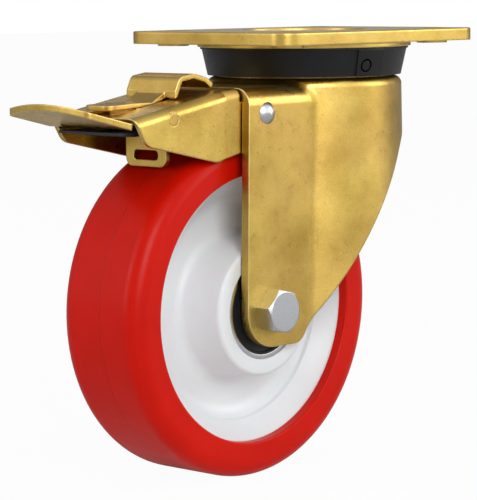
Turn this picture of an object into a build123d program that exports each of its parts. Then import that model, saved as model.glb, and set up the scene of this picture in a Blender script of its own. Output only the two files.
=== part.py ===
from build123d import *
import os
from math import cos, radians, sin, tan

# Heavy duty braked castor, in millimetres.
# The origin is where the swivel axis meets the top of the plate. +Z is up, the pedal points to -X.

os.makedirs("parts", exist_ok=True)

# Clearances
running_fit = 0.05        # radial, pins and shafts in their bores
seat_gap = 0.02           # radial, pieces that are fixed to each other
rolling_gap = 0.3         # balls to the race on the other body
side_gap = 0.5            # pieces that slide past each other

# Bolts and nuts
hexagon_face = 0.48       # radius of the flat face, as a share of the width across flats
hexagon_taper = 60        # the corners are turned off at 30 degrees to the face
thread_chamfer = 1

# Top plate
plate_length = 140
plate_width = 105
plate_thickness = 6
plate_corner = 9
plate_edge_round = 0.8
bolt_pitch_x = 105
bolt_pitch_y = 75
bolt_hole_radius = 5.5
bolt_dish_radius = 7.75
bolt_dish_angle = 120
bolt_collar_radius = 7.5
bolt_collar_height = 1.2
step_radius = 52
step_drop = 2
recess_radius = 30
recess_depth = 1.2

# Swivel head
upper_race_radius = 38
upper_ball_radius = 4
upper_ball_count = 18
lower_race_radius = 20
lower_ball_radius = 3
lower_ball_count = 12
race_bite = 1
ring_top_radius = 50
ring_bottom_radius = 47.2
ring_wall = 2.8
ring_height = 13.7
ring_lip = 0.7            # reach of the top edge beyond the band
ring_lip_height = 1.1
ring_lap = 0.9
ring_lap_start = 252.8
ring_lap_sweep = 18.6
ring_hole_angle = 258.8
ring_hole_radius = 3.2
ring_peg_radius = 2.3
ring_hole_drop = 8.6

# Kingpin and what it clamps
kingpin_radius = 8
kingpin_flat = 6.6        # axis to each flat of the keyed lower shank
kingpin_head_radius = 17
kingpin_head_sink = 3.4
kingpin_head_round = 0.8
kingpin_nut_flats = 24
kingpin_nut_height = 12
kingpin_tail = 2.5
cup_radius = 26.5
cup_thickness = 4.5
cup_round = 0.8
lock_ring_radius = 30
lock_ring_thickness = 4.5
lock_teeth = 24
lock_notch_depth = 3.4
lock_notch_width = 4

# Fork
sheet = 4.5
fork_width = 70
fork_front = -75.5
fork_bend = 8
fork_foot_radius = 17.2
skirt_margin = 4          # the uncut skirt reaches this far below the foot
boss_radius = 43
boss_round = 1.5
head_radius = 47.4
head_round = 4
head_gap = 0.7            # ring to fork head
web_drop = 2.8            # head shoulder to the flat web in front of it
skirt_flare = 2.1
crease_round = 7
heel_x = -42
heel_round = 8
cut_x = 22.8
cut_z = -54
cut_round = 32
tail_x = 62
tail_z = -31.8
kingpin_bore = 10.5

# Wheel
trail = 60.8
axle_depth = 129
wheel_radius = 80
tyre_width = 50
tyre_corner = 8
tyre_lip_radius = 63.2
tyre_lip_round = 1
rim_radius = 69
rim_width = 40
rim_inner_radius = 62.4
dish_radius = 50
web_thickness = 14
hub_length = 59
hub_face_radius = 31
hub_root_radius = 34.2
hub_round = 2
hub_root_round = 5
dish_round = 14
rim_round = 1
bearing_outer_radius = 23.5
bearing_bore_radius = 10
bearing_width = 14
bearing_recess = 1
bearing_ball_radius = 3.9
bearing_ball_count = 7
bearing_ring_wall = 3.6
seal_thickness = 1
seal_recess = 0.4
hub_bore_radius = 20

# Axle
axle_radius = 6
axle_head_flats = 19
axle_head_height = 7.8
axle_head_turn = -12
axle_nut_height = 10
axle_tail = 3
washer_radius = 12
washer_thickness = 2.5

# Brake pivot, housing, rocker and lever
rivet_x = -64
rivet_z = -37
rivet_radius = 3.5
rivet_head_radius = 5.1
rivet_head_height = 2.4
brake_sheet = 2.3
housing_width = 56.6
housing_front = -142
housing_top_rear_z = -25.2
housing_slope = 9.9
housing_fold = 4.5
chin_round = 8
lowest_round = 10
housing_gap = 1.8         # fork edge to the rear of the top flanges
slot_width = 22
slot_end = -92
joggle_start = -84
joggle_end = -77.6
ear_end = -56.5
ear_round = 7
ear_cover = 5.5           # rivet axis to the top of the ears
lowest_x = -90
lowest_z = -58.8
chin_x = -134.5
chin_z = -49
fork_entry_z = -54.5
pin_x = -118
pin_z = -37.7
pin_radius = 3
knuckle_radius = 4.6
rocker_width = 18
rocker_sheet = 2.8
tongue_width = 54
tongue_rear = -143
tongue_rear_z = -41.4
tongue_front = -171.5
tongue_rise = 13.5
tongue_root_camber = 0.1
tongue_camber = 2.4
tongue_bulge = 3.5
tongue_corner = 4
tab_sheet = 2.2
tab_width = 32
tab_leaf_width = 18
tab_bend = 1.6
tab_seat = 6
tab_shoulder = 1.2
tab_nose_round = 5
tab_nose_x = -139.5
tab_nose_drop = 0.6
tab_foot_x = -103.5
tab_foot_z = -28.6
tab_knee_x = -100.2
tab_knee_z = -21.6
tab_crown_x = -92.5
tab_crown_z = -20.5
tab_back_x = -85.2
tab_back_z = -22.4
tab_tail_x = -81.4
tab_tail_z = -25.2
leaf_thickness = 1.2
leaf_width = 42
leaf_front = -145
leaf_rear = -76
lower_leaf_front = -134
lower_leaf_width = 32
leaf_gap = 0.6            # rocker knuckle to the leaves under it
lever_sheet = 2.5
lever_width = 40
lever_front = -108.4
lever_shoulder_x = -54
lever_ear_radius = 6.4
spacer_radius = 5.5
tooth_x = -30.2
tooth_width = 3
tooth_root_width = 16
tooth_length = 4
tooth_gap = 0.5
loop_width = 26
loop_bottom = -60.6
loop_slot_width = 16
loop_slot_low = -57.5
loop_slot_high = -53
loop_corner = 4
leaf_rivet_x = -84
leaf_rivet_pitch = 22
leaf_rivet_radius = 2
leaf_rivet_head = 3.4
leaf_rivet_rise = 1.2

# Heights of the swivel head, worked down from the plate
axle_x = -trail
axle_z = -axle_depth
step_z = -plate_thickness - step_drop
ring_lip_radius = ring_top_radius + ring_lip
upper_ball_z = step_z + race_bite - upper_ball_radius
land_z = upper_ball_z - upper_ball_radius + race_bite
land_under_z = land_z - sheet
lower_ball_z = land_under_z + race_bite - lower_ball_radius
cup_z = lower_ball_z - lower_ball_radius + race_bite
lock_ring_z = cup_z - cup_thickness
kingpin_nut_z = lock_ring_z - lock_ring_thickness
head_z = step_z - ring_height - head_gap
web_z = head_z - web_drop
skirt_z = axle_z - fork_foot_radius - skirt_margin
cheek_y = fork_width / 2
cheek_inner_y = cheek_y - sheet
housing_y = housing_width / 2
housing_inner_y = housing_y - brake_sheet
ear_y = cheek_inner_y - side_gap
leaf_z = pin_z - knuckle_radius - leaf_gap
lever_z = leaf_z - 2 * leaf_thickness

# Planes through the axle: wheel profiles are drawn as (sideways, radius)
wheel_plane = Plane(origin=(axle_x, 0, axle_z), x_dir=(0, 1, 0), z_dir=(1, 0, 0))
wheel_axis = Axis((axle_x, 0, axle_z), (0, 1, 0))


def sideways(y):
    """A plane that faces -Y at this y, with X across and Z up."""
    return Plane.XZ.offset(-y)


def chamfered_hexagon(plane, flats, height, turn=0):
    """A hexagon that stands on this plane, its far corners turned off at 30 degrees."""
    with BuildPart() as blank:
        with BuildSketch(plane):
            RegularPolygon(flats / 2, 6, major_radius=False, rotation=turn)
        extrude(amount=height)
        with BuildSketch(plane):
            Circle(hexagon_face * flats + height * tan(radians(hexagon_taper)))
        extrude(amount=height, taper=hexagon_taper, mode=Mode.INTERSECT)
    return blank.part


def save(name, piece):
    """Labels a finished piece and writes it to its own file."""
    piece.part.label = name
    export_step(piece.part, f"parts/{name}.step")


# Top plate: pressed steel, with a round step below for the upper race and a dished centre
with BuildPart() as top_plate:
    with BuildSketch(Plane.XY.offset(-plate_thickness)):
        RectangleRounded(plate_length, plate_width, plate_corner)
    extrude(amount=plate_thickness)
    fillet(top_plate.edges().filter_by(Plane.XY).group_by(Axis.Z)[-1], plate_edge_round)
    with BuildSketch(Plane.XY.offset(step_z)):
        Circle(step_radius)
    extrude(amount=step_drop)
    with BuildSketch(Plane.XY.offset(-plate_thickness - bolt_collar_height)):
        with GridLocations(bolt_pitch_x, bolt_pitch_y, 2, 2):
            Circle(bolt_collar_radius)
    extrude(amount=bolt_collar_height)
    with BuildSketch(Plane.XY.offset(-recess_depth)):
        Circle(recess_radius)
    extrude(amount=recess_depth, mode=Mode.SUBTRACT)
    with BuildSketch(Plane.XY.offset(-kingpin_head_sink)):
        Circle(kingpin_head_radius + seat_gap)
    extrude(amount=kingpin_head_sink, mode=Mode.SUBTRACT)
    with GridLocations(bolt_pitch_x, bolt_pitch_y, 2, 2):
        CounterSinkHole(bolt_hole_radius, bolt_dish_radius, counter_sink_angle=bolt_dish_angle)
    with Locations((0, 0, 0)):
        Hole(kingpin_radius + seat_gap)
    with Locations((0, 0, upper_ball_z)):
        Torus(upper_race_radius, upper_ball_radius + rolling_gap, mode=Mode.SUBTRACT)
save("top_plate", top_plate)

# Dust ring: a split plastic band that hangs from the step and hides the upper balls.
# Its ends lap over each other, and a peg on the inner end snaps into a hole in the outer one.
ring_bottom_z = step_z - ring_height
ring_hole_z = step_z - ring_hole_drop
lap_angle = radians(ring_lap_start)
lap_plane = Plane((0, 0, 0), x_dir=(cos(lap_angle), sin(lap_angle), 0), z_dir=(sin(lap_angle), -cos(lap_angle), 0))
hole_angle = radians(ring_hole_angle)
lap_radius = ring_lip_radius + ring_lap
hole_plane = Plane(
    (lap_radius * cos(hole_angle), lap_radius * sin(hole_angle), ring_hole_z),
    x_dir=(-sin(hole_angle), cos(hole_angle), 0),
    z_dir=(cos(hole_angle), sin(hole_angle), 0),
)
with BuildPart() as dust_ring:
    with BuildSketch(Plane.XZ):
        with BuildLine():
            Polyline(
                (ring_top_radius - ring_wall, step_z),
                (ring_lip_radius, step_z),
                (ring_lip_radius, step_z - ring_lip_height),
                (ring_top_radius, step_z - ring_lip_height),
                (ring_bottom_radius, ring_bottom_z),
                (ring_bottom_radius - ring_wall, ring_bottom_z),
                close=True,
            )
        make_face()
    revolve(axis=Axis.Z)
    with BuildSketch(lap_plane):
        with BuildLine():
            Polyline(
                (ring_top_radius - ring_lap, step_z - ring_lip_height),
                (ring_top_radius + ring_lap, step_z - ring_lip_height),
                (ring_bottom_radius + ring_lap, ring_bottom_z),
                (ring_bottom_radius - ring_lap, ring_bottom_z),
                close=True,
            )
        make_face()
    revolve(axis=Axis.Z, revolution_arc=ring_lap_sweep)
    with BuildSketch(hole_plane):
        Circle(ring_hole_radius)
        Circle(ring_peg_radius, mode=Mode.SUBTRACT)
    extrude(amount=ring_bottom_radius - ring_wall / 2 - lap_radius, mode=Mode.SUBTRACT)
save("dust_ring", dust_ring)

# Kingpin: riveted flush into the plate, keyed with two flats below, threaded at its end
kingpin_end_z = kingpin_nut_z - kingpin_nut_height - kingpin_tail
with BuildPart() as kingpin:
    with BuildSketch(Plane.XY.offset(-kingpin_head_sink)):
        Circle(kingpin_head_radius)
    extrude(amount=kingpin_head_sink - recess_depth)
    fillet(kingpin.edges().group_by(Axis.Z)[-1], kingpin_head_round)
    with BuildSketch(Plane.XY.offset(-kingpin_head_sink)):
        Circle(kingpin_radius)
    extrude(amount=kingpin_end_z + kingpin_head_sink)
    chamfer(kingpin.edges().group_by(Axis.Z)[0], thread_chamfer)
    with BuildSketch(Plane.XY.offset(kingpin_nut_z)):
        Circle(kingpin_head_radius)
        Rectangle(2 * kingpin_flat, 2 * kingpin_head_radius, mode=Mode.SUBTRACT)
    extrude(amount=cup_z - kingpin_nut_z, mode=Mode.SUBTRACT)
save("kingpin", kingpin)

# Keyed shank, as a cutter for what the kingpin clamps
with BuildPart() as keyed_shank:
    with BuildSketch(Plane.XY.offset(kingpin_nut_z)):
        Circle(kingpin_radius + seat_gap)
        Rectangle(2 * (kingpin_flat + seat_gap), 2 * kingpin_head_radius, mode=Mode.INTERSECT)
    extrude(amount=cup_z - kingpin_nut_z)

# Lower cup: the hardened race that carries the lower balls
with BuildPart() as lower_cup:
    with BuildSketch(Plane.XY.offset(lock_ring_z)):
        Circle(cup_radius)
    extrude(amount=cup_thickness)
    fillet(lower_cup.edges(), cup_round)
    add(keyed_shank.part, mode=Mode.SUBTRACT)
    with Locations((0, 0, lower_ball_z)):
        Torus(lower_race_radius, lower_ball_radius + rolling_gap, mode=Mode.SUBTRACT)
save("lower_cup", lower_cup)

# Swivel lock ring: a notch every few degrees round its edge takes the brake lever's tooth
with BuildPart() as lock_ring:
    with BuildSketch(Plane.XY.offset(kingpin_nut_z)):
        Circle(lock_ring_radius)
        with PolarLocations(lock_ring_radius, lock_teeth):
            Rectangle(2 * lock_notch_depth, lock_notch_width, mode=Mode.SUBTRACT)
    extrude(amount=lock_ring_thickness)
    add(keyed_shank.part, mode=Mode.SUBTRACT)
save("lock_ring", lock_ring)

# Kingpin nut, its chamfered side down
nut_plane = Plane((0, 0, kingpin_nut_z), x_dir=(1, 0, 0), z_dir=(0, 0, -1))
kingpin_hexagon = chamfered_hexagon(nut_plane, kingpin_nut_flats, kingpin_nut_height)
with BuildPart() as kingpin_nut:
    add(kingpin_hexagon)
    with BuildSketch(nut_plane):
        Circle(kingpin_radius + seat_gap)
    extrude(amount=kingpin_nut_height, mode=Mode.SUBTRACT)
save("kingpin_nut", kingpin_nut)

# Room inside the fork: the outside of its sheet, set in by one thickness
skirt_radius = head_radius + skirt_flare
with BuildPart() as fork_room:
    with BuildSketch(Plane.XZ):
        with BuildLine():
            Polyline(
                (0, land_under_z),
                (boss_radius - sheet, land_under_z),
                (boss_radius - sheet, head_z - sheet),
                (head_radius - sheet, head_z - sheet),
                (skirt_radius - sheet, skirt_z),
                (0, skirt_z),
                close=True,
            )
        make_face()
    revolve(axis=Axis.Z)
    with BuildSketch(Plane.YZ.offset(2 * fork_front)) as room_section:
        with Locations((0, (web_z - sheet + skirt_z) / 2)):
            Rectangle(2 * cheek_inner_y, web_z - sheet - skirt_z)
        fillet(room_section.vertices().group_by(Axis.Y)[-1], fork_bend - sheet)
    extrude(amount=-2 * fork_front)

# Fork: one sheet, drawn up into the ball land and folded down into two cheeks
with BuildPart() as fork:
    with BuildSketch(Plane.XZ):
        with BuildLine():
            FilletPolyline(
                (0, land_z),
                (boss_radius, land_z),
                (boss_radius, head_z),
                (head_radius, head_z),
                (skirt_radius, skirt_z),
                (0, skirt_z),
                radius=[0, boss_round, 0, head_round, 0, 0],
                close=True,
            )
        make_face()
    revolve(axis=Axis.Z)
    with BuildSketch(Plane.YZ.offset(2 * fork_front)) as cheek_section:
        with Locations((0, (web_z + skirt_z) / 2)):
            Rectangle(fork_width, web_z - skirt_z)
        fillet(cheek_section.vertices().group_by(Axis.Y)[-1], fork_bend)
    extrude(amount=-2 * fork_front)
    creases = fork.edges().filter_by(
        lambda edge: abs(abs(edge.center().Y) - cheek_y) < 1
        and edge.bounding_box().size.Z > fork_width
        and edge.center().X > fork_front
    )
    fillet(creases, crease_round)
    add(fork_room.part, mode=Mode.SUBTRACT)
    with BuildSketch(Plane.XZ):
        with BuildLine():
            outline = FilletPolyline(
                (fork_front, 0),
                (axle_x - fork_foot_radius, axle_z - fork_foot_radius),
                (heel_x, axle_z - fork_foot_radius),
                (cut_x, cut_z),
                (tail_x, tail_z),
                radius=[fork_foot_radius, heel_round, cut_round],
            )
            Polyline(outline @ 1, (tail_x, 0), outline @ 0)
        make_face()
    extrude(amount=fork_width, both=True, mode=Mode.INTERSECT)
    with BuildSketch(Plane.XZ):
        with Locations((axle_x, axle_z)):
            Circle(axle_radius + seat_gap)
        with Locations((rivet_x, rivet_z)):
            Circle(rivet_radius + seat_gap)
    extrude(amount=fork_width, both=True, mode=Mode.SUBTRACT)
    with Locations((0, 0, land_z)):
        Hole(kingpin_bore)
    with Locations((0, 0, upper_ball_z)):
        Torus(upper_race_radius, upper_ball_radius + seat_gap, mode=Mode.SUBTRACT)
    with Locations((0, 0, lower_ball_z)):
        Torus(lower_race_radius, lower_ball_radius + seat_gap, mode=Mode.SUBTRACT)
save("fork", fork)

# Balls of the swivel head
with BuildPart() as upper_balls:
    with Locations((0, 0, upper_ball_z)):
        with PolarLocations(upper_race_radius, upper_ball_count):
            Sphere(upper_ball_radius)
save("upper_balls", upper_balls)

with BuildPart() as lower_balls:
    with Locations((0, 0, lower_ball_z)):
        with PolarLocations(lower_race_radius, lower_ball_count):
            Sphere(lower_ball_radius)
save("lower_balls", lower_balls)

# Wheel centre: injection moulded, a hub, a solid web and a rim that dishes in to it
hub_y = hub_length / 2
bearing_y = hub_y - bearing_recess
bearing_end_y = bearing_y - bearing_width
web_y = web_thickness / 2
rim_y = rim_width / 2
tyre_y = tyre_width / 2
with BuildPart() as wheel_centre:
    for side in (1, -1):
        with BuildSketch(wheel_plane):
            with BuildLine():
                FilletPolyline(
                    (0, hub_bore_radius),
                    (side * bearing_end_y, hub_bore_radius),
                    (side * bearing_end_y, bearing_outer_radius + seat_gap),
                    (side * hub_y, bearing_outer_radius + seat_gap),
                    (side * hub_y, hub_face_radius),
                    (side * web_y, hub_root_radius),
                    (side * web_y, dish_radius),
                    (side * rim_y, rim_inner_radius),
                    (side * rim_y, rim_radius),
                    (0, rim_radius),
                    radius=[0, 0, 0, 0, hub_round, hub_root_round, dish_round, rim_round, 0, 0],
                    close=True,
                )
            make_face()
        revolve(axis=wheel_axis)
save("wheel_centre", wheel_centre)

# Tyre: cast round the rim, with a lip down each side of it
with BuildPart() as tyre:
    with BuildSketch(wheel_plane):
        with BuildLine():
            FilletPolyline(
                (-tyre_y, tyre_lip_radius),
                (-tyre_y, wheel_radius),
                (tyre_y, wheel_radius),
                (tyre_y, tyre_lip_radius),
                (rim_y + seat_gap, tyre_lip_radius),
                (rim_y + seat_gap, rim_radius + seat_gap),
                (-rim_y - seat_gap, rim_radius + seat_gap),
                (-rim_y - seat_gap, tyre_lip_radius),
                radius=[tyre_lip_round, tyre_corner, tyre_corner, tyre_lip_round, 0, 0, 0, 0],
                close=True,
            )
        make_face()
    revolve(axis=wheel_axis)
save("tyre", tyre)

# Wheel bearings, one at each end of the hub
bearing_middle_y = bearing_y - bearing_width / 2
pitch_radius = (bearing_outer_radius + bearing_bore_radius) / 2
outer_race_radius = bearing_outer_radius - bearing_ring_wall
inner_race_radius = bearing_bore_radius + bearing_ring_wall


def band(start_y, end_y, small_radius, large_radius):
    """Section of a plain ring round the axle, between two places along it."""
    with BuildSketch(wheel_plane) as section:
        with BuildLine():
            Polyline(
                (start_y, small_radius),
                (end_y, small_radius),
                (end_y, large_radius),
                (start_y, large_radius),
                close=True,
            )
        make_face()
    return section.sketch


def race_groove(y, gap):
    """Cuts the ball groove of the bearing at this place along the axle."""
    with Locations(Plane((axle_x, y, axle_z), z_dir=(0, 1, 0))):
        Torus(pitch_radius, bearing_ball_radius + gap, mode=Mode.SUBTRACT)


with BuildPart() as bearing_outer_rings:
    for side in (1, -1):
        ring = band(side * bearing_end_y, side * bearing_y, outer_race_radius, bearing_outer_radius)
        revolve(ring, axis=wheel_axis)
        race_groove(side * bearing_middle_y, seat_gap)
save("bearing_outer_rings", bearing_outer_rings)

with BuildPart() as bearing_inner_rings:
    for side in (1, -1):
        ring = band(side * bearing_end_y, side * bearing_y, bearing_bore_radius, inner_race_radius)
        revolve(ring, axis=wheel_axis)
        race_groove(side * bearing_middle_y, rolling_gap)
save("bearing_inner_rings", bearing_inner_rings)

with BuildPart() as bearing_balls:
    for side in (1, -1):
        with Locations(Plane((axle_x, side * bearing_middle_y, axle_z), z_dir=(0, 1, 0))):
            with PolarLocations(pitch_radius, bearing_ball_count):
                Sphere(bearing_ball_radius)
save("bearing_balls", bearing_balls)

with BuildPart() as bearing_seals:
    for side in (1, -1):
        for face_y in (bearing_y - seal_recess, bearing_end_y + seal_recess + seal_thickness):
            seal = band(
                side * (face_y - seal_thickness),
                side * face_y,
                inner_race_radius + rolling_gap,
                outer_race_radius - seat_gap,
            )
            revolve(seal, axis=wheel_axis)
save("bearing_seals", bearing_seals)

# Axle tube: keeps the cheeks apart and carries the inner rings
with BuildPart() as axle_tube:
    tube = band(
        -cheek_inner_y + running_fit,
        cheek_inner_y - running_fit,
        axle_radius + running_fit,
        bearing_bore_radius - seat_gap,
    )
    revolve(tube, axis=wheel_axis)
save("axle_tube", axle_tube)

# Axle bolt, its head on the near cheek, with a washer and a nut on the far one
nut_seat_y = cheek_y + washer_thickness
far_nut = Plane((axle_x, nut_seat_y, axle_z), x_dir=(1, 0, 0), z_dir=(0, 1, 0))
head_plane = Plane((axle_x, -cheek_y, axle_z), x_dir=(1, 0, 0), z_dir=(0, -1, 0))
bolt_hexagon = chamfered_hexagon(head_plane, axle_head_flats, axle_head_height, axle_head_turn)
with BuildPart() as axle_bolt:
    add(bolt_hexagon)
    with BuildSketch(head_plane):
        Circle(axle_radius)
    extrude(amount=-(fork_width + washer_thickness + axle_nut_height + axle_tail))
    chamfer(axle_bolt.edges().group_by(Axis.Y)[-1], thread_chamfer)
save("axle_bolt", axle_bolt)

with BuildPart() as axle_washer:
    revolve(band(cheek_y, nut_seat_y, axle_radius + seat_gap, washer_radius), axis=wheel_axis)
save("axle_washer", axle_washer)

nut_hexagon = chamfered_hexagon(far_nut, axle_head_flats, axle_nut_height)
with BuildPart() as axle_nut:
    add(nut_hexagon)
    with BuildSketch(far_nut):
        Circle(axle_radius + seat_gap)
    extrude(amount=axle_nut_height, mode=Mode.SUBTRACT)
save("axle_nut", axle_nut)

# Brake housing: a channel folded from sheet, open below, with a slot between its top flanges.
# Its sides joggle out behind and pass inside the fork's cheeks, where the rivet holds them.
flange_end_x = fork_front - housing_gap
ear_top_z = rivet_z + ear_cover
slope = tan(radians(housing_slope))


def housing_top(x):
    """Height of the sloping top of the housing at this x."""
    return housing_top_rear_z + (x - flange_end_x) * slope


def housing_plan(inset):
    """Plan of the housing, set in by this much."""
    with BuildSketch(Plane.XY.offset(2 * lowest_z)) as plan:
        with BuildLine():
            half = Polyline(
                (2 * housing_front, 0),
                (2 * housing_front, housing_y - inset),
                (joggle_start, housing_y - inset),
                (joggle_end, ear_y - inset),
                (0, ear_y - inset),
                (0, 0),
            )
            mirror(half, about=Plane.XZ)
        make_face()
    return plan.sketch


def top_folds(piece):
    """The long top edges of the sloping part of the housing."""
    return piece.edges().filter_by(
        lambda edge: abs(edge.center().Z - housing_top(edge.center().X)) < brake_sheet + 1
        and edge.center().X < flange_end_x
        and abs(edge.center().Y) > housing_inner_y - 1
        and edge.bounding_box().size.X > 1
    )


with BuildPart() as housing_room:
    extrude(housing_plan(brake_sheet), amount=-2 * lowest_z)
    with BuildSketch(Plane.XZ):
        with BuildLine():
            under = brake_sheet / cos(radians(housing_slope))
            Polyline(
                (2 * housing_front, housing_top(2 * housing_front) - under),
                (flange_end_x, housing_top_rear_z - under),
                (flange_end_x, 0),
                (0, 0),
                (0, 2 * lowest_z),
                (2 * housing_front, 2 * lowest_z),
                close=True,
            )
        make_face()
    extrude(amount=housing_width, both=True, mode=Mode.INTERSECT)
    fillet(top_folds(housing_room), housing_fold - brake_sheet)

with BuildPart() as brake_housing:
    extrude(housing_plan(0), amount=-2 * lowest_z)
    with BuildSketch(Plane.XZ):
        with BuildLine():
            FilletPolyline(
                (flange_end_x, housing_top_rear_z),
                (housing_front, housing_top(housing_front)),
                (chin_x, chin_z),
                (lowest_x, lowest_z),
                (fork_front, fork_entry_z),
                (ear_end, rivet_z - ear_round),
                (ear_end, ear_top_z),
                (flange_end_x, ear_top_z),
                radius=[0, 0, chin_round, lowest_round, 0, 0, 0, 0],
                close=True,
            )
        make_face()
    extrude(amount=housing_width, both=True, mode=Mode.INTERSECT)
    fillet(top_folds(brake_housing), housing_fold)
    add(housing_room.part, mode=Mode.SUBTRACT)
    with BuildSketch(Plane.XY.offset(2 * lowest_z)):
        with Locations((housing_front, 0)):
            Rectangle(2 * (slot_end - housing_front), slot_width)
    extrude(amount=-2 * lowest_z, mode=Mode.SUBTRACT)
    with BuildSketch(Plane.XZ):
        with Locations((rivet_x, rivet_z)):
            Circle(rivet_radius + seat_gap)
        with Locations((pin_x, pin_z)):
            Circle(pin_radius + seat_gap)
    extrude(amount=housing_width, both=True, mode=Mode.SUBTRACT)
save("brake_housing", brake_housing)

# Rivet through both cheeks, the housing's ears and the brake lever, with a domed head each side
dome_radius = (rivet_head_radius**2 + rivet_head_height**2) / (2 * rivet_head_height)
with BuildPart() as brake_rivet:
    with BuildSketch(Plane((rivet_x, 0, rivet_z), x_dir=(0, 1, 0), z_dir=(1, 0, 0))):
        with BuildLine():
            far_dome = RadiusArc((cheek_y, rivet_head_radius), (cheek_y + rivet_head_height, 0), dome_radius)
            near_dome = RadiusArc((-cheek_y - rivet_head_height, 0), (-cheek_y, rivet_head_radius), dome_radius)
            Polyline(near_dome @ 1, (-cheek_y, rivet_radius), (cheek_y, rivet_radius), far_dome @ 0)
            Line(far_dome @ 1, near_dome @ 0)
        make_face()
    revolve(axis=Axis((rivet_x, 0, rivet_z), (0, 1, 0)))
save("brake_rivet", brake_rivet)

# Spacers on the rivet, between the housing's ears and the lever's
lever_y = lever_width / 2
with BuildPart() as rivet_spacers:
    for side in (1, -1):
        with BuildSketch(sideways(side * (lever_y + rolling_gap))):
            with Locations((rivet_x, rivet_z)):
                Circle(spacer_radius)
                Circle(rivet_radius + seat_gap, mode=Mode.SUBTRACT)
        extrude(amount=-side * (ear_y - brake_sheet - lever_y - rolling_gap))
save("rivet_spacers", rivet_spacers)

# Pedal pin, ground flush with the housing's sides
with BuildPart() as pedal_pin:
    with BuildSketch(Plane.XZ):
        with Locations((pin_x, pin_z)):
            Circle(pin_radius)
    extrude(amount=housing_y, both=True)
save("pedal_pin", pedal_pin)

# Pedal: a rocker on the pin, with a wide tongue that rises forward and arches across
rise = radians(tongue_rise)
forward = Vector(-cos(rise), 0, sin(rise))
tongue_root = Vector(tongue_rear, 0, tongue_rear_z)
tongue_reach = (tongue_rear - tongue_front) / cos(rise) + tongue_corner
saddle_z = pin_z + knuckle_radius


def tongue_section(distance, camber):
    """Section of the tongue at this distance forward of its root."""
    with BuildSketch(Plane(tongue_root + forward * distance, x_dir=(0, -1, 0), z_dir=forward)) as section:
        with BuildLine():
            half = tongue_width / 2
            low = ThreePointArc((-half, 0), (0, camber), (half, 0))
            high = ThreePointArc((-half, rocker_sheet), (0, camber + rocker_sheet), (half, rocker_sheet))
            Line(low @ 0, high @ 0)
            Line(low @ 1, high @ 1)
        make_face()
    return section.sketch


with BuildPart() as pedal:
    loft([tongue_section(0, tongue_root_camber), tongue_section(tongue_reach, tongue_camber)], ruled=True)
    with BuildSketch(Plane.XY.offset(2 * tongue_rear_z)) as tongue_plan:
        with BuildLine():
            corner_x = tongue_front + tongue_bulge
            front = ThreePointArc(
                (corner_x, -tongue_width / 2), (tongue_front, 0), (corner_x, tongue_width / 2)
            )
            Polyline(front @ 0, (0, -tongue_width / 2), (0, tongue_width / 2), front @ 1)
        make_face()
        fillet(tongue_plan.vertices().group_by(Axis.X)[0], tongue_corner)
    extrude(amount=-2 * tongue_rear_z, mode=Mode.INTERSECT)
    with BuildSketch(Plane.XZ):
        with BuildLine():
            Polyline(
                (pin_x, pin_z - rocker_sheet / 2),
                (pin_x, pin_z + rocker_sheet / 2),
                (tongue_rear - rocker_sheet, tongue_rear_z + rocker_sheet + rocker_sheet * sin(rise)),
                (tongue_rear, tongue_rear_z),
                close=True,
            )
        make_face()
        with Locations((pin_x, pin_z)):
            Circle(knuckle_radius)
        with Locations((pin_x, (pin_z + saddle_z) / 2)):
            Rectangle(2 * pin_radius + rocker_sheet, saddle_z - pin_z)
    extrude(amount=rocker_width / 2, both=True)
    with BuildSketch(Plane.XZ):
        with Locations((pin_x, pin_z)):
            Circle(pin_radius + running_fit)
    extrude(amount=rocker_width, both=True, mode=Mode.SUBTRACT)
save("pedal", pedal)

# Release tab: a leaf welded on the rocker that stands up behind as a hump for the toe
with BuildPart() as release_tab:
    with BuildSketch(Plane.XZ):
        with BuildLine():
            FilletPolyline(
                (tab_nose_x, saddle_z - tab_nose_drop),
                (pin_x - tab_seat, saddle_z),
                (pin_x + tab_seat, saddle_z),
                (tab_foot_x, tab_foot_z),
                (tab_knee_x, tab_knee_z),
                (tab_crown_x, tab_crown_z),
                (tab_back_x, tab_back_z),
                (tab_tail_x, tab_tail_z),
                radius=tab_bend,
            )
            offset(amount=tab_sheet, side=Side.LEFT)
        make_face()
    extrude(amount=tab_width / 2, both=True)
    with BuildSketch(Plane.XY.offset(2 * pin_z)):
        with Locations(((tab_nose_x + tab_crown_x) / 2, 0)):
            RectangleRounded(tab_crown_x - tab_nose_x, tab_leaf_width, tab_nose_round)
        with Locations(((tab_foot_x - tab_shoulder) / 2, 0)):
            Rectangle(tab_shoulder - tab_foot_x, tab_width)
    extrude(amount=-2 * pin_z, mode=Mode.INTERSECT)
save("release_tab", release_tab)

# Spring leaves: two blackened strips that carry the tongue and load the lever


def spring_leaf(top_z, front, width):
    """One leaf, its top at this height, rounded at its corners and pierced for its rivets."""
    with BuildPart() as leaf:
        with BuildSketch(Plane.XY.offset(top_z)):
            with Locations(((front + leaf_rear) / 2, 0)):
                RectangleRounded(leaf_rear - front, width, tongue_corner)
            with Locations((leaf_rivet_x, 0)):
                with GridLocations(leaf_rivet_pitch, leaf_rivet_pitch, 1, 2):
                    Circle(leaf_rivet_radius + seat_gap, mode=Mode.SUBTRACT)
        extrude(amount=-leaf_thickness)
    return leaf


upper_leaf = spring_leaf(leaf_z, leaf_front, leaf_width)
lower_leaf = spring_leaf(leaf_z - leaf_thickness, lower_leaf_front, lower_leaf_width)
save("upper_leaf", upper_leaf)
save("lower_leaf", lower_leaf)

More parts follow.
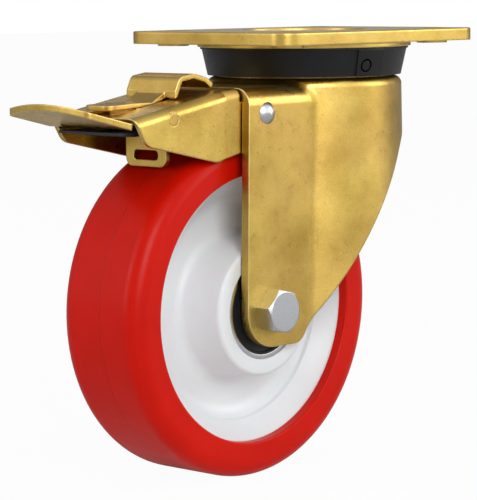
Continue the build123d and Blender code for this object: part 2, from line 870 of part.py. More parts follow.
# Brake lever: a flat sheet on the rivet. Its front is bent down into a slotted loop that bears on
# the tread, and its rear is bent up into the tooth that locks the swivel.
lever_under_z = lever_z - lever_sheet
tooth_z = kingpin_nut_z - tooth_gap
with BuildPart() as brake_lever:
    with BuildSketch(Plane.XY.offset(lever_under_z)):
        with BuildLine():
            half = Polyline(
                (lever_front, 0),
                (lever_front, loop_width / 2),
                (leaf_rear - lever_y, lever_y),
                (lever_shoulder_x, lever_y),
                (tooth_x + lever_sheet, tooth_root_width / 2),
                (tooth_x + lever_sheet, 0),
            )
            mirror(half, about=Plane.XZ)
        make_face()
    extrude(amount=lever_sheet)
    with BuildSketch(Plane.YZ.offset(tooth_x)):
        with BuildLine():
            half = Polyline(
                (0, lever_under_z),
                (tooth_root_width / 2, lever_under_z),
                (tooth_root_width / 2, lever_z + lever_sheet),
                (tooth_width / 2, tooth_z - tooth_length),
                (tooth_width / 2, tooth_z),
                (0, tooth_z),
            )
            mirror(half, about=Plane.YZ)
        make_face()
    extrude(amount=lever_sheet)
    for side in (1, -1):
        with BuildSketch(sideways(side * lever_y)):
            with Locations((rivet_x, rivet_z)):
                Circle(lever_ear_radius)
            with Locations((rivet_x, (rivet_z + lever_under_z) / 2)):
                Rectangle(2 * lever_ear_radius, rivet_z - lever_under_z)
        extrude(amount=side * lever_sheet)
    with BuildSketch(Plane.YZ.offset(lever_front)) as loop_section:
        with Locations((0, (loop_bottom + lever_z) / 2)):
            Rectangle(loop_width, lever_z - loop_bottom)
        fillet(loop_section.vertices().group_by(Axis.Y)[0], loop_corner)
        with Locations((0, (loop_slot_low + loop_slot_high) / 2)):
            RectangleRounded(
                loop_slot_width, loop_slot_high - loop_slot_low, loop_corner / 2, mode=Mode.SUBTRACT
            )
    extrude(amount=lever_sheet)
    with BuildSketch(Plane.XZ):
        with Locations((rivet_x, rivet_z)):
            Circle(rivet_radius + running_fit)
    extrude(amount=lever_width, both=True, mode=Mode.SUBTRACT)
    with BuildSketch(Plane.XY.offset(lever_z)):
        with Locations((leaf_rivet_x, 0)):
            with GridLocations(leaf_rivet_pitch, leaf_rivet_pitch, 1, 2):
                Circle(leaf_rivet_radius + seat_gap)
    extrude(amount=-lever_sheet, mode=Mode.SUBTRACT)
save("brake_lever", brake_lever)

# Rivets that clamp the leaves on the lever
with BuildPart() as leaf_rivets:
    with Locations((leaf_rivet_x, 0)):
        with GridLocations(leaf_rivet_pitch, leaf_rivet_pitch, 1, 2):
            with Locations((0, 0, lever_under_z - leaf_rivet_rise)):
                Cylinder(leaf_rivet_head, leaf_rivet_rise, align=(Align.CENTER, Align.CENTER, Align.MIN))
            with Locations((0, 0, leaf_z)):
                Cylinder(leaf_rivet_head, leaf_rivet_rise, align=(Align.CENTER, Align.CENTER, Align.MIN))
            with Locations((0, 0, lever_under_z)):
                Cylinder(
                    leaf_rivet_radius, leaf_z - lever_under_z, align=(Align.CENTER, Align.CENTER, Align.MIN)
                )
save("leaf_rivets", leaf_rivets)
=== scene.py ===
from math import cos, pi, radians, sin, tan

import bmesh
import bpy
from mathutils import Matrix, Vector


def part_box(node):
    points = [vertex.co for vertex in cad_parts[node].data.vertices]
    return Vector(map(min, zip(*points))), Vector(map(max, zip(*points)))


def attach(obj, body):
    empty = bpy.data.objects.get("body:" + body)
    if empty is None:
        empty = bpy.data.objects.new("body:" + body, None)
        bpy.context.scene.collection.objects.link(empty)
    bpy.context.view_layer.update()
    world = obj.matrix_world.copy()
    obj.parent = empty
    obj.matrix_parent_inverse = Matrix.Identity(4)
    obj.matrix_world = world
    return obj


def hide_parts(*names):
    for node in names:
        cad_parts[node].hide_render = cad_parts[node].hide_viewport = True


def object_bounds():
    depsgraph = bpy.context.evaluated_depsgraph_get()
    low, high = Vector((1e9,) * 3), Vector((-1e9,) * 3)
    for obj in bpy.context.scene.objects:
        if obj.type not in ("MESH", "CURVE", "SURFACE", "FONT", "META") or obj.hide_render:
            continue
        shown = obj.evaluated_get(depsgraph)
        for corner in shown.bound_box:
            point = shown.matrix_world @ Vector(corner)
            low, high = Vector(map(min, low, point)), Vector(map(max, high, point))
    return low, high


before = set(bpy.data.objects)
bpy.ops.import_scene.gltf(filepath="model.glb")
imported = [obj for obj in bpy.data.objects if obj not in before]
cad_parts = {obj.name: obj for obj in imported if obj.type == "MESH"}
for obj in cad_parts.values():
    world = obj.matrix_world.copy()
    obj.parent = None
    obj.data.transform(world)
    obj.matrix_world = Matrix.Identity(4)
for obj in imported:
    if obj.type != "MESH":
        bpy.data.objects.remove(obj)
cad_low, cad_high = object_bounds()
bpy.context.scene.view_settings.view_transform = "Standard"


# Top plate. Pressed from 6 mm steel sheet, with four bolt holes in dished rims and a round step below.
# It is zinc plated and yellow passivated, which leaves a satin gold skin with a cloudy, faintly rosy
# mottle. The sheared edges are tumbled, so they are rounded a little; their colour is painted lighter,
# partly as wear and partly as a painted highlight. Its upward faces are painted greyer, a painted reflection.
def tint(red, green, blue):
    """A colour as it looks on a screen, 0 to 255, as the linear values that a shader takes."""
    screen = (value / 255 for value in (red, green, blue))
    return (*(value / 12.92 if value < 0.04 else ((value + 0.055) / 1.055) ** 2.4 for value in screen), 1.0)


def add(tree, kind, inputs=None, **properties):
    """Adds a node with these properties, and gives its inputs values or the outputs of other nodes."""
    node = tree.nodes.new(kind)
    for name, value in properties.items():
        setattr(node, name, value)
    for socket, value in (inputs or {}).items():
        if isinstance(value, bpy.types.NodeSocket):
            tree.links.new(value, node.inputs[socket])
        else:
            node.inputs[socket].default_value = value
    return node


def math(tree, operation, first, second=0.0, clamp=False):
    return add(tree, "ShaderNodeMath", {0: first, 1: second}, operation=operation, use_clamp=clamp).outputs[0]


def between(tree, value, low, high, to_low=0.0, to_high=1.0):
    """Maps value from the range low to high to another range, and stops at its ends."""
    inputs = {"Value": value, "From Min": low, "From Max": high, "To Min": to_low, "To Max": to_high}
    return add(tree, "ShaderNodeMapRange", inputs).outputs["Result"]


def mixed(tree, factor, first, second):
    """A mix of two colours."""
    return add(tree, "ShaderNodeMix", {0: factor, 6: first, 7: second}, data_type="RGBA").outputs[2]


def noise(tree, place, scale, detail=2.0, roughness=0.5):
    inputs = {"Vector": place, "Scale": scale, "Detail": detail, "Roughness": roughness}
    return add(tree, "ShaderNodeTexNoise", inputs).outputs["Fac"]


def new_effect(name, inputs, outputs):
    """A shader node group with these inputs and defaults, and these outputs and their types."""
    group = bpy.data.node_groups.new(name, "ShaderNodeTree")
    for label, value in inputs.items():
        group.interface.new_socket(label, in_out="INPUT", socket_type="NodeSocketFloat").default_value = value
    for label, kind in outputs.items():
        group.interface.new_socket(label, in_out="OUTPUT", socket_type=kind)
    return group, group.nodes.new("NodeGroupInput").outputs, group.nodes.new("NodeGroupOutput").inputs


# Rounded normals at sharp edges, and a mask of them that paints edges lighter, partly as wear and partly as a painted
# highlight.
edge_wear, given, result = new_effect(
    "edge_wear", {"Radius": 0.0008, "Strength": 5.0}, {"Mask": "NodeSocketFloat", "Normal": "NodeSocketVector"}
)
rounded_normal = add(edge_wear, "ShaderNodeBevel", {"Radius": given["Radius"]}, samples=6).outputs[0]
flat_normal = add(edge_wear, "ShaderNodeNewGeometry").outputs["Normal"]
alike = add(edge_wear, "ShaderNodeVectorMath", {0: rounded_normal, 1: flat_normal}, operation="DOT_PRODUCT")
turned_away = math(edge_wear, "SUBTRACT", 1.0, alike.outputs["Value"])
edge_wear.links.new(math(edge_wear, "MULTIPLY", turned_away, given["Strength"], clamp=True), result["Mask"])
edge_wear.links.new(rounded_normal, result["Normal"])

mottle, given, result = new_effect(
    "mottle",
    {"Size": 0.03, "Contrast": 1.0},
    {"Clouds": "NodeSocketFloat", "Blotches": "NodeSocketFloat", "Hue": "NodeSocketFloat"},
)
place = add(mottle, "ShaderNodeTexCoord").outputs["Object"]
scale = math(mottle, "DIVIDE", 1.0, given["Size"])
half = math(mottle, "MULTIPLY", given["Contrast"], 0.5)
low, high = math(mottle, "SUBTRACT", 0.5, half), math(mottle, "ADD", 0.5, half)
clouds = between(mottle, noise(mottle, place, scale, 5.0, 0.62), 0.3, 0.7)
blotches = between(mottle, noise(mottle, place, math(mottle, "MULTIPLY", scale, 7.0), 4.0, 0.7), 0.32, 0.68)
moved = add(mottle, "ShaderNodeVectorMath", {0: place, 1: (0.31, 0.17, 0.23)}, operation="ADD").outputs[0]
hue = between(mottle, noise(mottle, moved, math(mottle, "MULTIPLY", scale, 0.8), 3.0), 0.35, 0.65)
for label, value in {"Clouds": clouds, "Blotches": blotches, "Hue": hue}.items():
    inputs = {"Value": value, "From Min": 0.0, "From Max": 1.0, "To Min": low, "To Max": high}
    mottle.links.new(add(mottle, "ShaderNodeMapRange", inputs).outputs["Result"], result[label])

grain, given, result = new_effect("grain", {"Size": 0.0008}, {"Grain": "NodeSocketFloat", "Pits": "NodeSocketFloat"})
place = add(grain, "ShaderNodeTexCoord").outputs["Object"]
scale = math(grain, "DIVIDE", 1.0, given["Size"])
grain.links.new(noise(grain, place, scale, 3.0, 0.6), result["Grain"])
cells = add(grain, "ShaderNodeTexVoronoi", {"Vector": place, "Scale": math(grain, "MULTIPLY", scale, 0.22)})
grain.links.new(between(grain, cells.outputs["Distance"], 0.02, 0.16, 1.0, 0.0), result["Pits"])

scuffs, given, result = new_effect("scuffs", {"Size": 0.012, "Amount": 0.5}, {"Mask": "NodeSocketFloat"})
place = add(scuffs, "ShaderNodeTexCoord").outputs["Object"]
lines = None
for turn, stretch in (((0.4, 0.9, 0.2), (26.0, 1.6, 26.0)), ((1.3, 0.2, 2.1), (1.8, 30.0, 30.0))):
    turned = add(scuffs, "ShaderNodeMapping", {"Vector": place, "Rotation": turn, "Scale": stretch}).outputs[0]
    scratch = noise(scuffs, turned, math(scuffs, "DIVIDE", 0.35, given["Size"]), 1.0)
    thin = between(scuffs, math(scuffs, "ABSOLUTE", math(scuffs, "SUBTRACT", scratch, 0.5)), 0.0, 0.006, 1.0, 0.0)
    lines = thin if lines is None else math(scuffs, "MAXIMUM", lines, thin)
patches = between(scuffs, noise(scuffs, place, math(scuffs, "DIVIDE", 1.0, given["Size"]), 3.0), 0.56, 0.66)
kept = math(scuffs, "MULTIPLY", math(scuffs, "MULTIPLY", lines, patches), given["Amount"], clamp=True)
scuffs.links.new(kept, result["Mask"])


def effect(tree, group, **inputs):
    """Places a node group in a material, with these values, and returns its outputs."""
    node = add(tree, "ShaderNodeGroup", node_tree=group)
    for label, value in inputs.items():
        node.inputs[label].default_value = value
    return node.outputs


def new_material(name, **constants):
    """A material with one Principled shader, with its constant values on its own sockets."""
    material = bpy.data.materials.new(name)
    material.use_nodes = True
    shader = material.node_tree.nodes["Principled BSDF"]
    for socket, value in constants.items():
        shader.inputs[socket.replace("_", " ")].default_value = value
    return material, material.node_tree, shader.inputs


def bumped(tree, height, distance, strength, normal=None):
    inputs = {"Height": height, "Distance": distance, "Strength": strength}
    if normal is not None:
        inputs["Normal"] = normal
    return add(tree, "ShaderNodeBump", inputs).outputs[0]


def plated_zinc(name, light, dark, rosy, edge, roughness, contrast, bevel, painted_top_grey):
    """Zinc plating with a passivated skin: clouds of two tones, a hint of rose, scuffs, and edges painted lighter,
    partly as wear and partly as a painted highlight.

    Where it faces up it is painted greyer, a painted reflection of a dull surrounding, and it is rougher there.
    """
    material, tree, shader = new_material(name, Metallic=1.0)
    cloud = effect(tree, mottle, Size=0.03, Contrast=contrast)
    fine = effect(tree, grain, Size=0.0007)
    scuff = effect(tree, scuffs, Size=0.012, Amount=0.6)
    worn_and_highlit = effect(tree, edge_wear, Radius=bevel, Strength=4.0)
    colour = mixed(tree, cloud["Clouds"], light, dark)
    colour = mixed(tree, math(tree, "MULTIPLY", cloud["Blotches"], 0.3), colour, dark)
    colour = mixed(tree, math(tree, "MULTIPLY", cloud["Hue"], 0.35), colour, rosy)
    colour = mixed(tree, math(tree, "MULTIPLY", fine["Pits"], 0.4), colour, dark)
    bright = math(tree, "MAXIMUM", math(tree, "MULTIPLY", worn_and_highlit["Mask"], 0.8), scuff["Mask"])
    # Painted highlight in part: edges are mixed towards the lighter edge tone, partly as wear and partly as a
    # highlight on their rounding; scuffs are wear.
    colour = mixed(tree, bright, colour, edge)
    # Painted reflection: faces that look up are mixed towards a grey, standing in for the duller reflection on the
    # plate's top.
    facing = add(tree, "ShaderNodeNewGeometry").outputs["Normal"]
    upward = between(tree, add(tree, "ShaderNodeSeparateXYZ", {0: facing}).outputs["Z"], 0.9, 0.99, 0.0, painted_top_grey)
    colour = mixed(tree, upward, colour, tint(178, 170, 158))
    shade = between(tree, fine["Grain"], 0.3, 0.7, 0.88, 1.08)
    colour = add(tree, "ShaderNodeVectorMath", {0: colour, "Scale": shade}, operation="SCALE").outputs[0]
    tree.links.new(colour, shader["Base Color"])
    dulled = between(tree, cloud["Blotches"], 0.0, 1.0, roughness - 0.06, roughness + 0.08)
    dulled = math(tree, "ADD", dulled, math(tree, "MULTIPLY", upward, 0.25))
    tree.links.new(math(tree, "SUBTRACT", dulled, math(tree, "MULTIPLY", scuff["Mask"], 0.12)), shader["Roughness"])
    tree.links.new(bumped(tree, fine["Grain"], 0.00003, 0.4, worn_and_highlit["Normal"]), shader["Normal"])
    return material


# Light, dark, rosy and edge tones; the lighter edge tone is partly wear and partly a painted highlight.
gold_tones = tint(220, 190, 102), tint(170, 140, 60), tint(194, 152, 92), tint(244, 224, 154)
yellow_zinc = plated_zinc("yellow_zinc", *gold_tones, 0.32, 1.0, 0.0009, 0.0)
# The plate's copy is the same zinc with its upward faces painted grey, a painted reflection.
plate_zinc = plated_zinc("plate_zinc", *gold_tones, 0.32, 1.0, 0.0009, 0.75)


def finish(node, material):
    """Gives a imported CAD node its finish."""
    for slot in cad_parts[node].material_slots:
        slot.material = material


finish("top_plate", plate_zinc)


# Dust ring. A band moulded in black plastic, split and lapped beside the hole whose peg holds it closed.
# It is slipped around the step of the plate and hides the balls below.
black_plastic, tree, shader = new_material("black_plastic", Specular_IOR_Level=0.25)
fine = effect(tree, grain, Size=0.0006)
cloud = effect(tree, mottle, Size=0.02, Contrast=0.8)
tree.links.new(mixed(tree, cloud["Clouds"], tint(14, 14, 15), tint(22, 22, 23)), shader["Base Color"])
tree.links.new(between(tree, cloud["Blotches"], 0.0, 1.0, 0.32, 0.45), shader["Roughness"])
worn_and_highlit = effect(tree, edge_wear, Radius=0.0004, Strength=1.0)
tree.links.new(bumped(tree, fine["Grain"], 0.00005, 0.35, worn_and_highlit["Normal"]), shader["Normal"])
finish("dust_ring", black_plastic)


# Swivel head. The kingpin goes down through the plate and is held by a nut. It carries the lower cup and the
# notched lock ring, and 2 rings of hardened balls run above and below the drawn head of the fork.
# Light, dark, rosy and edge tones; the lighter edge tone is partly wear and partly a painted highlight.
silver_tones = tint(200, 202, 206), tint(176, 179, 184), tint(190, 190, 197), tint(236, 238, 241)
silver_zinc = plated_zinc("silver_zinc", *silver_tones, 0.3, 0.6, 0.0003, 0.0)
bearing_steel, tree, shader = new_material("bearing_steel", Metallic=1.0)
fine = effect(tree, grain, Size=0.0015)
tree.links.new(mixed(tree, fine["Grain"], tint(176, 176, 178), tint(206, 206, 208)), shader["Base Color"])
tree.links.new(between(tree, fine["Grain"], 0.3, 0.7, 0.14, 0.26), shader["Roughness"])
for node in ("kingpin", "kingpin_nut", "lower_cup", "lock_ring"):
    finish(node, silver_zinc)


def socketed(name, inputs):
    """A new node tree of Geometry Nodes with one geometry in and out, and these named inputs."""
    tree = bpy.data.node_groups.new(name, "GeometryNodeTree")
    tree.interface.new_socket("Geometry", in_out="INPUT", socket_type="NodeSocketGeometry")
    for label, (socket, value) in inputs.items():
        made = tree.interface.new_socket(label, in_out="INPUT", socket_type=socket)
        if value is not None:
            made.default_value = value
    tree.interface.new_socket("Geometry", in_out="OUTPUT", socket_type="NodeSocketGeometry")
    return tree, tree.nodes.new("NodeGroupInput").outputs, tree.nodes.new("NodeGroupOutput").inputs


ball_ring, given, result = socketed(
    "ball_ring",
    {
        "Count": ("NodeSocketInt", 12),
        "Ring Radius": ("NodeSocketFloat", 0.02),
        "Ball Radius": ("NodeSocketFloat", 0.003),
        "Place": ("NodeSocketVector", (0, 0, 0)),
        "Finish": ("NodeSocketMaterial", None),
    },
)
circle = add(ball_ring, "GeometryNodeMeshCircle", {"Vertices": given["Count"], "Radius": given["Ring Radius"]})
ball = add(ball_ring, "GeometryNodeMeshIcoSphere", {"Radius": given["Ball Radius"], "Subdivisions": 4})
placed = add(ball_ring, "GeometryNodeInstanceOnPoints", {"Points": circle.outputs[0], "Instance": ball.outputs[0]})
real = add(ball_ring, "GeometryNodeRealizeInstances", {0: placed.outputs[0]})
smooth = add(ball_ring, "GeometryNodeSetShadeSmooth", {0: real.outputs[0]})
moved = add(ball_ring, "GeometryNodeTransform", {"Geometry": smooth.outputs[0], "Translation": given["Place"]})
painted = add(ball_ring, "GeometryNodeSetMaterial", {"Geometry": moved.outputs[0], "Material": given["Finish"]})
ball_ring.links.new(painted.outputs[0], result["Geometry"])


def grown(name, tree, mesh=None, **inputs):
    """A plain mesh object that a Geometry Nodes tree makes from these inputs, its faces outwards."""
    piece = bpy.data.objects.new(name, mesh or bpy.data.meshes.new(name))
    bpy.context.scene.collection.objects.link(piece)
    maker = piece.modifiers.new("maker", "NODES")
    maker.node_group = tree
    for socket in tree.interface.items_tree:
        if socket.in_out == "INPUT" and socket.name.replace(" ", "_") in inputs:
            maker[socket.identifier] = inputs[socket.name.replace(" ", "_")]
    made = bpy.data.meshes.new_from_object(piece.evaluated_get(bpy.context.evaluated_depsgraph_get()))
    piece.modifiers.clear()
    piece.data = made
    shell = bmesh.new()
    shell.from_mesh(made)
    bmesh.ops.remove_doubles(shell, verts=shell.verts, dist=1e-7)
    bmesh.ops.recalc_face_normals(shell, faces=shell.faces)
    shell.to_mesh(made)
    shell.free()
    return piece


for node, count, ball_radius in (("upper_balls", 18, 0.004), ("lower_balls", 12, 0.003)):
    low, high = (Vector(corner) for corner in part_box(node))
    balls = grown(
        node + "_polished",
        ball_ring,
        Count=count,
        Ring_Radius=high.x - ball_radius,
        Ball_Radius=ball_radius,
        Place=(0.0, 0.0, (low.z + high.z) / 2),
        Finish=bearing_steel,
    )
    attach(balls, "fork")
    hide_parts(node)


# Fork. One blank of 4.5 mm steel, drawn into a round head with a bearing race and folded into two cheeks
# that hold the axle. It is plated and passivated with the plate.
finish("fork", yellow_zinc)


# Axle. An M12 bolt through a steel tube, with a washer and a nut on the far side. All four are steel, plated
# in bright zinc.
for node in ("axle_bolt", "axle_nut", "axle_washer", "axle_tube"):
    finish(node, silver_zinc)


# Wheel bearings. Two sealed ball bearings are pressed into the hub. Their ground rings are bare steel, and a
# black rubber seal snaps into a groove in each outer ring. Only the seals on the outer faces are drawn.
seal_rubber, tree, shader = new_material("seal_rubber", Specular_IOR_Level=0.35)
fine = effect(tree, grain, Size=0.0008)
tree.links.new(mixed(tree, fine["Grain"], tint(18, 18, 19), tint(30, 30, 31)), shader["Base Color"])
tree.links.new(between(tree, fine["Grain"], 0.3, 0.7, 0.42, 0.6), shader["Roughness"])

spun, given, result = socketed(
    "spun",
    {
        "Steps": ("NodeSocketInt", 160),
        "Axle": ("NodeSocketVector", (0, 0, 0)),
        "Finish": ("NodeSocketMaterial", None),
    },
)
outline = given["Geometry"]
count = add(spun, "GeometryNodeAttributeDomainSize", {0: outline}, component="MESH").outputs["Point Count"]
along_count = math(spun, "ADD", count, 1.0)
around_count = math(spun, "ADD", given["Steps"], 1.0)
grid_size = {"Size X": 1.0, "Size Y": 1.0, "Vertices X": around_count, "Vertices Y": along_count}
grid = add(spun, "GeometryNodeMeshGrid", grid_size)
spot = add(spun, "ShaderNodeSeparateXYZ", {0: add(spun, "GeometryNodeInputPosition").outputs[0]}).outputs
turn = math(spun, "MULTIPLY", math(spun, "ADD", spot["X"], 0.5), 2 * pi)
step = math(spun, "ROUND", math(spun, "MULTIPLY", math(spun, "ADD", spot["Y"], 0.5), count))
index = math(spun, "MODULO", step, count)
source = add(spun, "GeometryNodeInputPosition").outputs[0]
sampled = add(
    spun, "GeometryNodeSampleIndex", {0: outline, 1: source, 2: index}, data_type="FLOAT_VECTOR", domain="POINT"
)
profile = add(spun, "ShaderNodeSeparateXYZ", {0: sampled.outputs[0]}).outputs
around_x = math(spun, "MULTIPLY", profile["Z"], math(spun, "SINE", turn))
around_z = math(spun, "MULTIPLY", profile["Z"], math(spun, "COSINE", turn))
point = add(spun, "ShaderNodeCombineXYZ", {"X": around_x, "Y": profile["Y"], "Z": around_z}).outputs[0]
point = add(spun, "ShaderNodeVectorMath", {0: point, 1: given["Axle"]}, operation="ADD").outputs[0]
turned = add(spun, "GeometryNodeSetPosition", {"Geometry": grid.outputs[0], "Position": point})
closed = add(spun, "GeometryNodeMergeByDistance", {"Geometry": turned.outputs[0], "Distance": 1e-7})
smooth = add(spun, "GeometryNodeSetShadeSmooth", {0: closed.outputs[0]})
real = add(spun, "GeometryNodeRealizeInstances", {0: smooth.outputs[0]})
painted = add(spun, "GeometryNodeSetMaterial", {"Geometry": real.outputs[0], "Material": given["Finish"]})
spun.links.new(painted.outputs[0], result["Geometry"])


def rounded(corners):
    """A closed outline through corners of (sideways, radius, rounding) in mm, as points in metres."""
    points = []
    for i, (y, r, rounding) in enumerate(corners):
        corner = Vector((y, r))
        if not rounding:
            points.append(corner)
            continue
        before = (Vector(corners[i - 1][:2]) - corner).normalized()
        after = (Vector(corners[(i + 1) % len(corners)][:2]) - corner).normalized()
        half = before.angle(after) / 2
        centre = corner + (before + after).normalized() * rounding / sin(half)
        start = corner + before * rounding / tan(half) - centre
        sweep = start.angle_signed(corner + after * rounding / tan(half) - centre)
        steps = max(3, int(rounding * abs(sweep) / 0.6) + 2)
        for k in range(steps + 1):
            angle = -sweep * k / steps
            turned = Vector((start.x * cos(angle) - start.y * sin(angle), start.x * sin(angle) + start.y * cos(angle)))
            points.append(centre + turned)
    return [(0.0, point.x / 1000, point.y / 1000) for point in points]


axle = Vector((-0.0608, 0.0, -0.129))


def turned_piece(name, corners, material, steps, body, node):
    """A piece of revolution about the axle, turned from its outline, in place of a CAD node."""
    points = rounded(corners)
    mesh = bpy.data.meshes.new(name)
    mesh.from_pydata(points, [(i, (i + 1) % len(points)) for i in range(len(points))], [])
    piece = grown(name, spun, mesh, Steps=steps, Axle=axle, Finish=material)
    piece.data.set_sharp_from_angle(angle=radians(35))
    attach(piece, body)
    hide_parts(node)


ring_outline = [
    (14.5, 23.5, 0.6), (29.0, 23.5, 0.3), (29.0, 21.2, 0.2), (27.5, 21.2, 0), (27.5, 19.9, 0), (14.5, 19.9, 0),
]
seal_outline = [
    (27.5, 21.15, 0), (28.6, 21.15, 0.3), (28.6, 20.3, 0.3), (27.7, 20.0, 0.2), (27.7, 16.0, 0.2),
    (28.0, 15.4, 0.2), (28.0, 13.9, 0.15), (27.0, 13.9, 0), (27.0, 19.85, 0), (27.5, 19.85, 0),
]
for side, label in ((-1, "near"), (1, "far")):
    ring = [(y * side, r, rounding) for y, r, rounding in ring_outline]
    turned_piece(f"outer_ring_{label}", ring, bearing_steel, 128, "wheel", "bearing_outer_rings")
    seal = [(y * side, r, rounding) for y, r, rounding in seal_outline]
    turned_piece(f"seal_{label}", seal, seal_rubber, 128, "wheel", "bearing_seals")
for node in ("bearing_inner_rings", "bearing_balls"):
    finish(node, bearing_steel)


# Wheel centre. Moulded in one shot of white nylon: a hub, a solid dished web and a rim. The mould leaves a
# satin skin, and the web has a small step near the rim.
white_nylon, tree, shader = new_material(
    "white_nylon", IOR=1.5, Subsurface_Weight=0.15, Subsurface_Scale=0.004, Specular_IOR_Level=0.35
)
cloud = effect(tree, mottle, Size=0.05, Contrast=0.8)
fine = effect(tree, grain, Size=0.0012)
tree.links.new(mixed(tree, cloud["Clouds"], tint(236, 239, 241), tint(228, 232, 234)), shader["Base Color"])
tree.links.new(between(tree, cloud["Blotches"], 0.0, 1.0, 0.28, 0.4), shader["Roughness"])
tree.links.new(bumped(tree, fine["Grain"], 0.00003, 0.3), shader["Normal"])
half = [
    (14.5, 20, 0), (14.5, 23.52, 0), (29.5, 23.52, 0.3), (29.5, 31, 2), (7, 34.2, 5), (7, 49.8, 9), (10.6, 53.6, 0.3),
    (12.4, 54.2, 0.5), (20, 62.4, 1), (20, 69, 0),
]
outline = half + [(-y, r, rounding) for y, r, rounding in reversed(half)]
turned_piece("wheel_centre_moulded", outline, white_nylon, 192, "wheel", "wheel_centre")


# Tyre. Red polyurethane, cast in an open mould onto the rim, so it has a satin gloss, rounded shoulders and a
# faint parting line round the middle of the tread.
red_polyurethane, tree, shader = new_material("red_polyurethane", IOR=1.48, Specular_IOR_Level=0.14)
cloud = effect(tree, mottle, Size=0.04, Contrast=0.9)
fine = effect(tree, grain, Size=0.001)
place = add(tree, "ShaderNodeTexCoord").outputs["Object"]
across = add(tree, "ShaderNodeSeparateXYZ", {0: place}).outputs["Y"]
seam = between(tree, math(tree, "ABSOLUTE", math(tree, "ADD", across, 0.002)), 0.0001, 0.00045, 1.0, 0.0)
stretched = add(tree, "ShaderNodeCombineXYZ", {"X": math(tree, "MULTIPLY", across, 60.0)}).outputs[0]
bands = noise(tree, stretched, 12.0, 3.0)
colour = mixed(tree, cloud["Clouds"], tint(212, 22, 3), tint(200, 17, 2))
colour = mixed(tree, math(tree, "MULTIPLY", seam, 0.5), colour, tint(150, 8, 5))
tree.links.new(colour, shader["Base Color"])
tree.links.new(between(tree, cloud["Blotches"], 0.0, 1.0, 0.27, 0.38), shader["Roughness"])
relief = math(tree, "ADD", math(tree, "MULTIPLY", fine["Grain"], 0.2), math(tree, "MULTIPLY", bands, 0.5))
relief = math(tree, "ADD", relief, math(tree, "MULTIPLY", seam, 1.5))
tree.links.new(bumped(tree, relief, 0.0001, 0.4), shader["Normal"])
finish("tyre", red_polyurethane)


# Brake housing. A channel of 2.3 mm sheet, folded open below and plated like the fork. It is riveted between
# the cheeks, and a pin through it carries the pedal.
finish("brake_housing", yellow_zinc)
finish("pedal_pin", yellow_zinc)
for node in ("brake_rivet", "rivet_spacers"):
    finish(node, silver_zinc)


# Pedal. The wide tongue and the release tab, pressed from sheet steel. Both are plated and passivated like
# the housing.
for node in ("pedal", "release_tab"):
    finish(node, yellow_zinc)


# Brake lever. A flat lever with a slotted loop over the tread, plated like the fork. Its two leaves are of
# blackened spring steel and are riveted on it.
black_steel, tree, shader = new_material("black_steel", Metallic=0.7)
fine = effect(tree, grain, Size=0.0009)
tree.links.new(mixed(tree, fine["Grain"], tint(34, 35, 38), tint(62, 63, 66)), shader["Base Color"])
tree.links.new(between(tree, fine["Grain"], 0.3, 0.7, 0.4, 0.55), shader["Roughness"])
finish("brake_lever", yellow_zinc)
for node in ("upper_leaf", "lower_leaf"):
    finish(node, black_steel)
finish("leaf_rivets", silver_zinc)


# Studio. A plain pale floor under the wheel, soft area lamps, and a white surrounding. The camera sees the
# floor almost white, like the bare background of the photo.
floor_gap, floor_size = 0.0002, 8.0
floor_z = cad_low[2] - floor_gap
floor_mesh = bpy.data.meshes.new("floor")
corners = [(x * floor_size, y * floor_size, floor_z) for x, y in ((-1, -1), (1, -1), (1, 1), (-1, 1))]
floor_mesh.from_pydata(corners, [], [(0, 1, 2, 3)])
floor = bpy.data.objects.new("floor", floor_mesh)
bpy.context.scene.collection.objects.link(floor)
pale_floor, tree, shader = new_material("pale_floor", Roughness=0.8, Specular_IOR_Level=0.1)
shader["Base Color"].default_value = tint(230, 230, 230)
seen = add(tree, "ShaderNodeLightPath").outputs
seen_plain = math(tree, "MAXIMUM", seen["Is Camera Ray"], seen["Is Transmission Ray"])
seen_plain = math(tree, "MAXIMUM", seen_plain, math(tree, "MULTIPLY", seen["Is Glossy Ray"], 0.12))
glow = add(tree, "ShaderNodeEmission", {"Color": (1, 1, 1, 1), "Strength": 1.0}).outputs[0]
lit = tree.nodes["Principled BSDF"].outputs[0]
cover = add(tree, "ShaderNodeMixShader", {0: math(tree, "MULTIPLY", seen_plain, 0.96), 1: lit, 2: glow}).outputs[0]
tree.links.new(cover, tree.nodes["Material Output"].inputs["Surface"])
floor_mesh.materials.append(pale_floor)

world = bpy.data.worlds.new("studio")
world.use_nodes = True
bpy.context.scene.world = world
tree = world.node_tree
seen = add(tree, "ShaderNodeLightPath").outputs
direction = add(tree, "ShaderNodeTexCoord").outputs["Generated"]
behind = add(tree, "ShaderNodeVectorMath", {0: direction, 1: (0.72, 0.69, 0.0)}, operation="DOT_PRODUCT")
room = between(tree, behind.outputs["Value"], 0.0, 0.95, 1.0, 0.12)
ahead = add(tree, "ShaderNodeVectorMath", {0: direction, 1: (0.1, -0.99, 0.08)}, operation="DOT_PRODUCT")
window = math(tree, "ADD", room, between(tree, ahead.outputs["Value"], 0.4, 1.0, 0.0, 0.8))
bright = math(tree, "MAXIMUM", seen["Is Camera Ray"], seen["Is Transmission Ray"])
dimmed = math(tree, "MULTIPLY", room, 0.36)
room = add(tree, "ShaderNodeMix", {0: seen["Is Glossy Ray"], 2: dimmed, 3: window}, data_type="FLOAT").outputs[0]
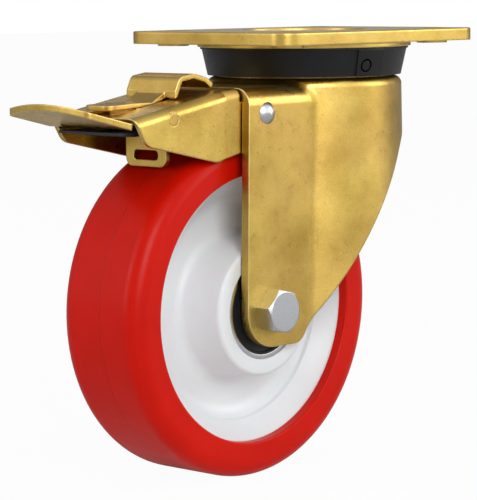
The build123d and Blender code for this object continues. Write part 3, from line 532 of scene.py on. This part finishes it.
shown = add(tree, "ShaderNodeMix", {0: bright, 2: room, 3: 1.0}, data_type="FLOAT").outputs[0]
background = tree.nodes["Background"]
tree.links.new(shown, background.inputs["Strength"])
background.inputs["Color"].default_value = (1, 1, 1, 1)


def soft_lamp(name, at, width, height, watts):
    """An area lamp that looks at the middle of the castor."""
    lamp = bpy.data.lights.new(name, "AREA")
    lamp.shape, lamp.size, lamp.size_y, lamp.energy = "RECTANGLE", width, height, watts
    lamp_object = bpy.data.objects.new(name, lamp)
    bpy.context.scene.collection.objects.link(lamp_object)
    lamp_object.location = at
    lamp_object.rotation_euler = (Vector((-0.04, 0, -0.1)) - Vector(at)).to_track_quat("-Z", "Y").to_euler()


soft_lamp("key_lamp", (-0.85, -1.4, 0.6), 0.8, 0.9, 14.0)
soft_lamp("fill_lamp", (1.1, -1.05, 0.4), 0.8, 0.7, 6.5)
soft_lamp("side_lamp", (-1.3, 0.6, 0.4), 0.5, 0.9, 4.5)
soft_lamp("rear_lamp", (1.0, 1.1, 0.7), 0.9, 0.15, 0.8)


# Camera. It looks from the front left, a little above the wheel, as the photograph does. Its angles and its
# long lens were fitted to the photo.
azimuth, elevation, roll, distance = radians(-46.3), radians(6.26), radians(-0.48), 1.2
back = Vector((sin(azimuth) * cos(elevation), -cos(azimuth) * cos(elevation), sin(elevation)))
level = Vector((cos(azimuth), sin(azimuth), 0.0))
upward = back.cross(level)
right = cos(roll) * level + sin(roll) * upward
up = cos(roll) * upward - sin(roll) * level
aside, below = 0.03269, 0.00831
eye = Vector((0, 0, -0.1)) - aside * right - below * up + distance * back
lens = bpy.data.cameras.new("camera")
lens.lens, lens.sensor_width, lens.sensor_height, lens.sensor_fit = 175.5, 36.0, 36.0, "AUTO"
lens.clip_start, lens.clip_end = 0.05, 50.0
camera = bpy.data.objects.new("camera", lens)
camera.matrix_world = Matrix([[right[i], up[i], back[i], eye[i]] for i in range(3)] + [[0.0, 0.0, 0.0, 1.0]])
bpy.context.scene.collection.objects.link(camera)
bpy.context.scene.camera = camera
